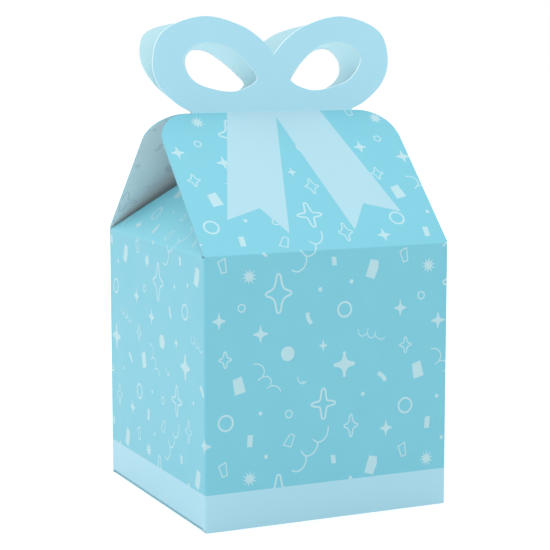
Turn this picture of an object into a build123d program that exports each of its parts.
from build123d import *
import os
from math import atan2, cos, degrees, hypot, radians, sin

# Gift box with a bow top, folded from one printed paperboard blank. Millimetres.
# Origin: centre of the base on the surface it stands on. +Z up, the front faces -Y.
# Every panel and flap between two creases is one solid. Cards that meet at a crease stop
# short of its axis, so each panel can fold without touching its neighbour.

# ---- driving dimensions ----
box_width = 76.2          # outside, square plan
wall_height = 77.0        # base to the roof creases
card = 0.5                # paperboard thickness
roof_rise = 37.0          # roof creases to the bow creases
crease_gap = 0.45         # from a crease axis to the edge of the card
apex_gap = 0.8            # between the two bow creases
roof_corner = 10.8        # rounded top corners of the roof panels
back_bow_lean = 25.0      # degrees from vertical
gusset_lean = 42.0        # degrees from vertical, inwards
gusset_side = 41.5        # slope of the gusset flap's sides, degrees from its crease
gusset_length = 20.9      # crease to free edge
gusset_inset = 1.3        # from the wall's corner crease to the flap's side
gusset_corner = 2.0
base_slack = 0.35         # between the tuck tab and the front wall
tab_length = 12.0
tab_corner = 4.0
tab_lean = 4.0            # degrees from vertical, inwards
tab_inset = 2.1           # from the outside of the box to each end of the tab
tab_side = 75.0           # slope of the tab's ends, degrees from its crease
dust_reach = 34.0         # side wall crease to the dust flap's free edge
dust_front_inset = 2.1    # clears the front wall, the tuck tab's side
dust_back_inset = 1.6     # clears the back wall
dust_taper = 2.5          # narrowing of each side towards the free edge
dust_corner = 5.0
dust_gap = 0.1            # between the dust flaps and the bottom panel
glue_width = 11.0
glue_margin = 5.0         # glue flap ends below the top of the wall and above the base

# ---- derived dimensions ----
half = box_width / 2
fold = half - card / 2                       # middle of a wall, where its creases lie
apex_height = wall_height + roof_rise
apex_fold = apex_gap / 2
roof_length = hypot(fold - apex_fold, roof_rise)
roof_slope = degrees(atan2(roof_rise, fold - apex_fold))
tab_fold = half - card - base_slack - card / 2
base_level = card / 2                        # middle of the bottom panel
dust_level = card * 1.5 + dust_gap           # middle of the dust flaps

# ---- bow outlines, right halves: X from the middle, Y up from the bow crease ----
bow_base = 26.0           # where the loops spring from the crease
front_bow_points = [
    (30.2, 2.5),
    (36.3, 8.3),
    (38.1, 14.6),
    (35.4, 23.0),
    (22.6, 27.9),
    (9.8, 24.9),
    (3.5, 20.7),
    (0.0, 16.8),
]
front_hole_points = [
    (5.3, 9.7),
    (9.3, 15.0),
    (14.4, 19.0),
    (20.7, 20.4),
    (25.9, 19.2),
    (28.9, 15.4),
    (25.6, 9.6),
    (19.6, 7.0),
    (11.6, 6.3),
]
back_bow_points = [
    (29.6, 3.2),
    (35.8, 9.2),
    (38.8, 17.0),
    (36.6, 24.7),
    (28.6, 28.0),
    (20.5, 28.3),
    (12.8, 27.0),
    (5.9, 24.9),
    (0.0, 21.6),
]
back_hole_points = [
    (7.6, 8.8),
    (10.1, 12.8),
    (13.7, 16.5),
    (18.2, 19.6),
    (22.4, 19.8),
    (25.0, 16.4),
    (24.4, 11.6),
    (19.4, 7.2),
    (12.0, 6.0),
]

os.makedirs("parts", exist_ok=True)


def finish(builder, label):
    """Label a finished piece and write it to its own STEP file."""
    builder.part.label = label
    export_step(builder.part, f"parts/{label}.step")
    print(f"{label}: {builder.part.volume:.1f} mm3")


def leaning(origin, x_dir, lean):
    """Plane of a card on a crease: local X along it, local Y up the card, Z out of the box.

    The card leans into the box by lean degrees from vertical.
    """
    up = Vector(0, 0, 1)
    outwards = Vector(x_dir).cross(up)
    normal = outwards * cos(radians(lean)) + up * sin(radians(lean))
    return Plane(origin=origin, x_dir=x_dir, z_dir=normal)


# ---- walls: mitred where they meet at the vertical creases ----
def wall(turn, bottom):
    """One wall, seen from the front and turned about the box's vertical axis."""
    plane = Plane.XY.offset(bottom).rotated((0, 0, turn))
    with BuildPart() as panel:
        with BuildSketch(plane):
            with BuildLine():
                Polyline(
                    (-half, -half),
                    (half, -half),
                    (half - card, -half + card),
                    (-half + card, -half + card),
                    close=True,
                )
            make_face()
        extrude(amount=wall_height - crease_gap - bottom)
    return panel


side_wall_foot = dust_level + crease_gap
wall_list = [
    ("front_wall", 0, 0.0),
    ("right_wall", 90, side_wall_foot),
    ("back_wall", 180, base_level + crease_gap),
    ("left_wall", 270, side_wall_foot),
]
for wall_name, wall_turn, wall_foot in wall_list:
    finish(wall(wall_turn, wall_foot), wall_name)

# ---- glue flap: tapered tab glued inside the right wall, from the back corner ----
glue_low = side_wall_foot + glue_margin
glue_high = wall_height - glue_margin
glue_root = half - card
glue_end = glue_root - glue_width
with BuildPart() as glue_flap:
    with BuildSketch(Plane.YZ.offset(half - 2 * card)):
        with BuildLine():
            Polyline(
                (glue_root, glue_low),
                (glue_root, glue_high),
                (glue_end, glue_high - glue_width / 2),
                (glue_end, glue_low + glue_width / 2),
                close=True,
            )
        make_face()
    extrude(amount=card)
finish(glue_flap, "glue_flap")


# ---- roof panels: from the wall crease up to the bow crease, top corners rounded ----
def roof_panel(plane):
    """Flat roof panel on the plane through its wall crease."""
    with BuildPart() as panel:
        with BuildSketch(plane) as outline:
            with Locations((0, roof_length / 2)):
                Rectangle(box_width, roof_length - 2 * crease_gap)
            fillet(outline.vertices().group_by(Axis.Y)[-1], radius=roof_corner)
        extrude(amount=card / 2, both=True)
    return panel


front_crease = leaning((0, -fold, wall_height), (1, 0, 0), 90 - roof_slope)
back_crease = leaning((0, fold, wall_height), (-1, 0, 0), 90 - roof_slope)
finish(roof_panel(front_crease), "front_roof_panel")
finish(roof_panel(back_crease), "back_roof_panel")


# ---- bows: two loops with finger holes, cut short just above the bow crease ----
def bow(plane, loop_points, hole_points):
    """Bow on the plane through its crease: half of it drawn, then mirrored."""
    with BuildPart() as loops:
        with BuildSketch(plane) as outline:
            with BuildLine():
                Line((0, 0), (bow_base, 0))
                Spline((bow_base, 0), *loop_points)
                Line(loop_points[-1], (0, 0))
            make_face()
            with BuildLine():
                Spline(*hole_points, periodic=True)
            make_face(mode=Mode.SUBTRACT)
            with Locations((0, crease_gap / 2)):
                Rectangle(box_width, crease_gap, mode=Mode.SUBTRACT)
            mirror(about=Plane.YZ)
        extrude(amount=card / 2, both=True)
    return loops


front_bow_crease = leaning((0, -apex_fold, apex_height), (1, 0, 0), 0)
back_bow_crease = leaning((0, apex_fold, apex_height), (-1, 0, 0), -back_bow_lean)
finish(bow(front_bow_crease, front_bow_points, front_hole_points), "front_bow")
finish(bow(back_bow_crease, back_bow_points, back_hole_points), "back_bow")


# ---- gusset flaps: tapered flaps on the side walls, leaning in under the roof ----
def gusset_flap(plane):
    """Trapezium from the side wall's top crease, free corners rounded."""
    base = fold - gusset_inset
    with BuildPart() as flap:
        with BuildSketch(plane) as outline:
            with Locations((0, crease_gap)):
                Trapezoid(
                    2 * base,
                    gusset_length - crease_gap,
                    gusset_side,
                    align=(Align.CENTER, Align.MIN),
                )
            fillet(outline.vertices().group_by(Axis.Y)[-1], radius=gusset_corner)
        extrude(amount=card / 2, both=True)
    return flap


left_crease = leaning((-fold, 0, wall_height), (0, -1, 0), gusset_lean)
right_crease = leaning((fold, 0, wall_height), (0, 1, 0), gusset_lean)
finish(gusset_flap(left_crease), "left_gusset_flap")
finish(gusset_flap(right_crease), "right_gusset_flap")

# ---- base: bottom panel on the back wall, tuck tab up behind the front wall ----
panel_back = fold - crease_gap
panel_front = -tab_fold + crease_gap
with BuildPart() as bottom_panel:
    with BuildSketch(Plane.XY):
        with Locations((0, (panel_back + panel_front) / 2)):
            Rectangle(box_width - 2 * card, panel_back - panel_front)
    extrude(amount=card)
finish(bottom_panel, "bottom_panel")

with BuildPart() as tuck_tab:
    with BuildSketch(leaning((0, -tab_fold, base_level), (1, 0, 0), tab_lean)) as tab_outline:
        with Locations((0, crease_gap)):
            Trapezoid(
                box_width - 2 * tab_inset,
                tab_length - crease_gap,
                tab_side,
                align=(Align.CENTER, Align.MIN),
            )
        fillet(tab_outline.vertices().group_by(Axis.Y)[-1], radius=tab_corner)
    extrude(amount=card / 2, both=True)
finish(tuck_tab, "bottom_tuck_tab")


# ---- dust flaps: on the side walls, flat above the bottom panel ----
def dust_flap(side):
    """Tapered flap reaching in from a side wall, side is -1 for left and 1 for right."""
    root = fold - crease_gap
    end = fold - dust_reach
    front_root = -half + dust_front_inset
    back_root = half - dust_back_inset
    with BuildPart() as flap:
        with BuildSketch(Plane.XY.offset(dust_level - card / 2)) as outline:
            with BuildLine():
                Polyline(
                    (side * root, front_root),
                    (side * root, back_root),
                    (side * end, back_root - dust_taper),
                    (side * end, front_root + dust_taper),
                    close=True,
                )
            make_face()
            fillet(outline.vertices().sort_by(Axis.X, reverse=side < 0)[:2], radius=dust_corner)
        extrude(amount=card)
    return flap


finish(dust_flap(-1), "left_dust_flap")
finish(dust_flap(1), "right_dust_flap")
